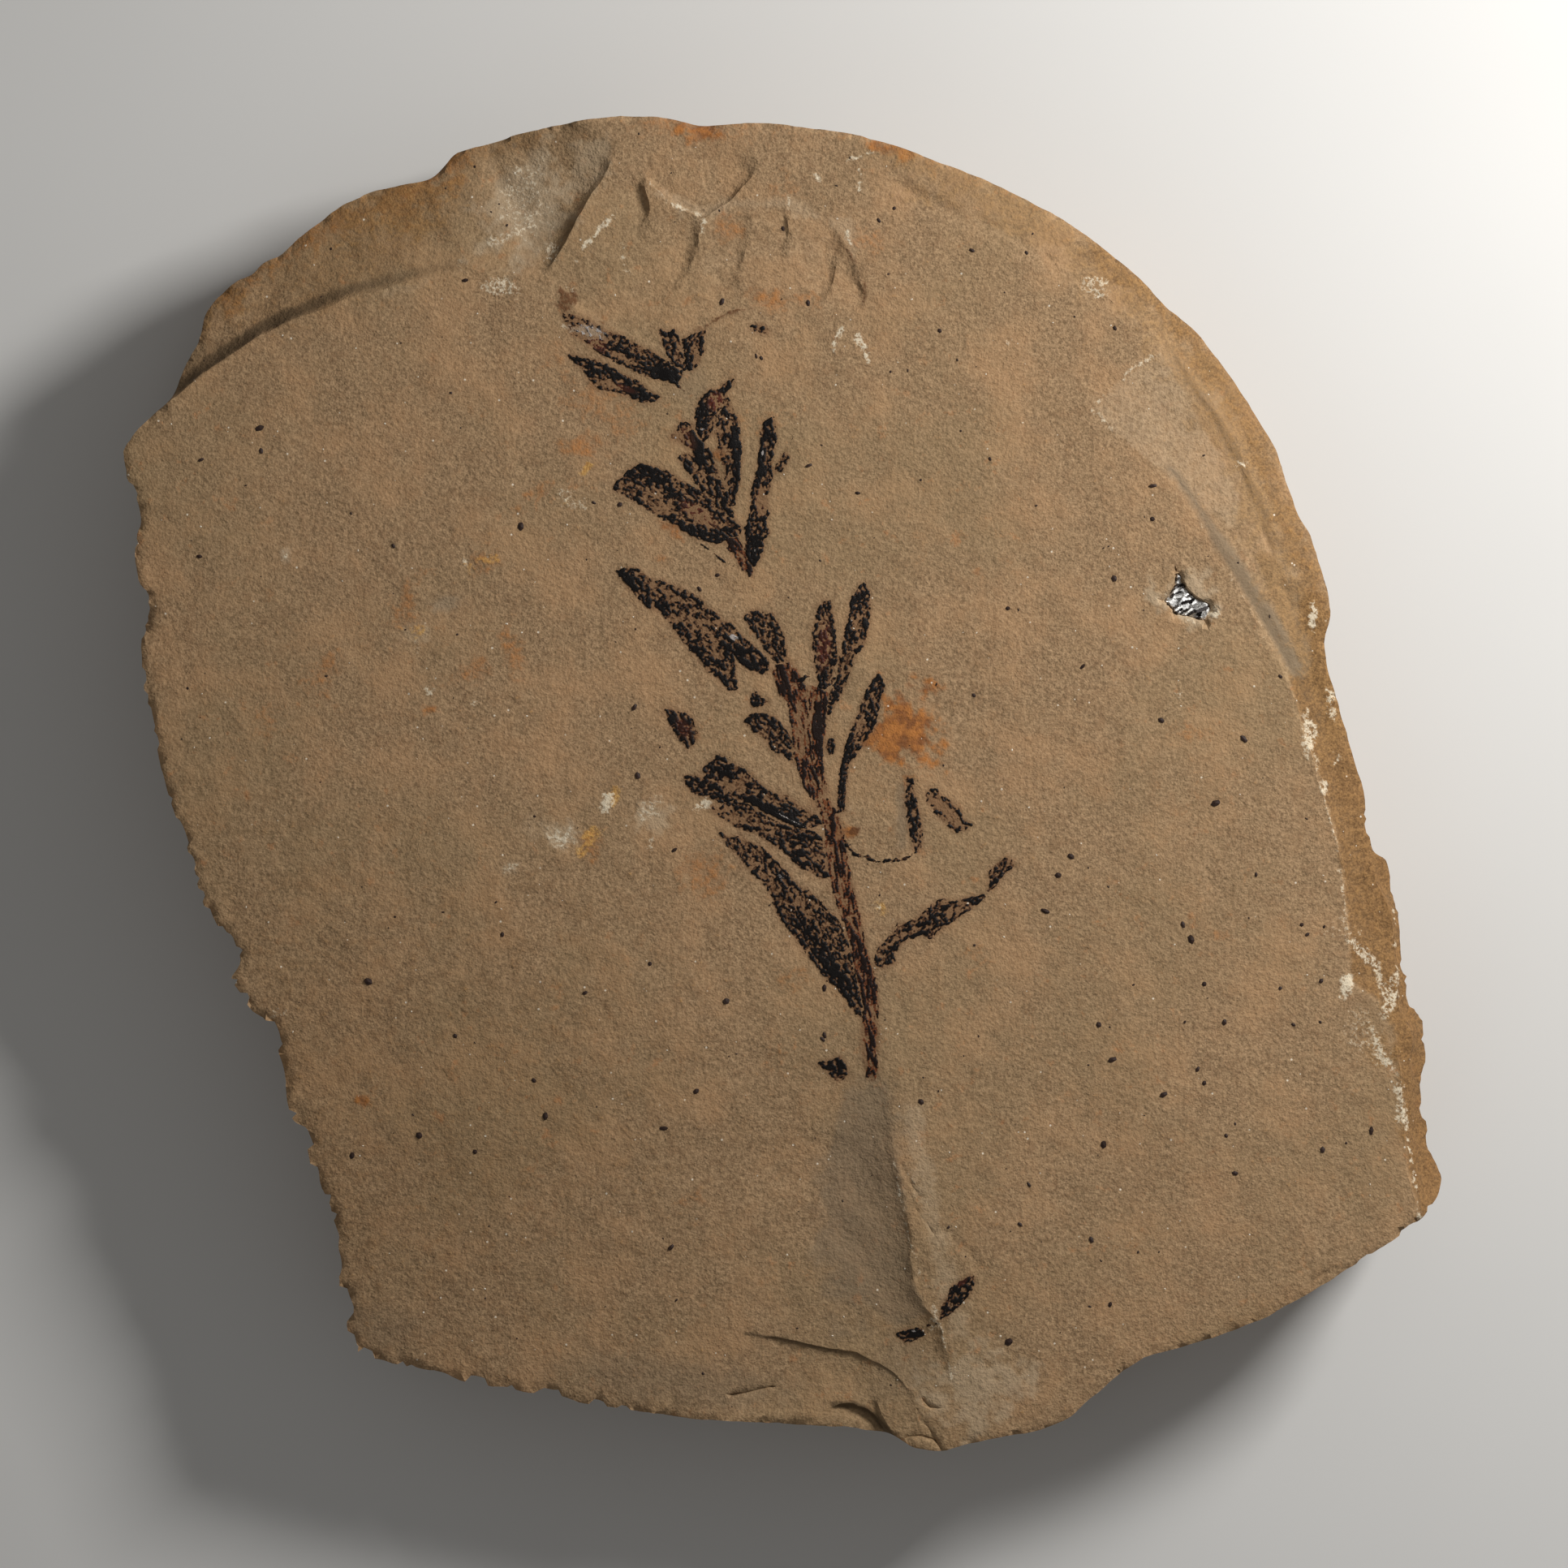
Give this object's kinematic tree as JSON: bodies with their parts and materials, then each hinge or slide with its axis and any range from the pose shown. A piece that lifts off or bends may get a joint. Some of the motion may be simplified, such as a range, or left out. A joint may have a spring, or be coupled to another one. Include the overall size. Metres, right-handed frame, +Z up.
{
  "type": "fossil dawn redwood plate",
  "caption": "Hand-sized slab of split tan siltstone that lies flat, with the dark coal film of a conifer twig and its leaves on the upper face.",
  "frame": {"origin": "on the surface the slab rests on, under the middle of its bounding box", "axes": "+Z up out of the fossil face; +Y along the twig from its broken base towards its tip; +X to the right when the twig points up"},
  "size_m": [0.102, 0.103, 0.0142],
  "materials": {
    "siltstone": "matt, fine-grained, tan with rusty and greyish mottling",
    "leaf_film": "near-black coal film, brown at its thin edges, semi-gloss",
    "stem_film": "reddish brown coal film with dark streaks, satin",
    "mineral": "silver-grey crystals with metallic lustre and dark hollows"
  },
  "bodies": {
    "root": {"slab": "siltstone", "mineral_crust": "mineral", "stem_main": "stem_film", "stem_fork_left": "stem_film", "stem_fork_right": "stem_film", "stem_tip": "stem_film", "leaf_left_1": "leaf_film", "leaf_left_2": "leaf_film", "leaf_left_3": "leaf_film", "leaf_left_4": "leaf_film", "leaf_left_5": "leaf_film", "leaf_left_6": "leaf_film", "leaf_left_7": "leaf_film", "leaf_left_8": "leaf_film", "leaf_left_9": "leaf_film", "leaf_right_1": "leaf_film", "leaf_right_2": "leaf_film", "leaf_right_3": "leaf_film", "leaf_right_4": "leaf_film", "leaf_right_5": "leaf_film", "leaf_right_6": "leaf_film", "leaf_right_7": "leaf_film", "leaf_tip_1": "leaf_film", "leaf_tip_2": "leaf_film", "leaf_tip_3": "leaf_film", "leaf_tip_4": "leaf_film", "loose_leaf": "leaf_film", "scrap_1": "leaf_film", "scrap_2": "leaf_film", "scrap_3": "leaf_film", "scrap_4": "leaf_film", "scrap_5": "leaf_film", "scrap_6": "leaf_film", "scrap_7": "leaf_film", "low_leaf_right": "leaf_film", "low_leaf_left": "leaf_film"}
  },
  "joints": []
}
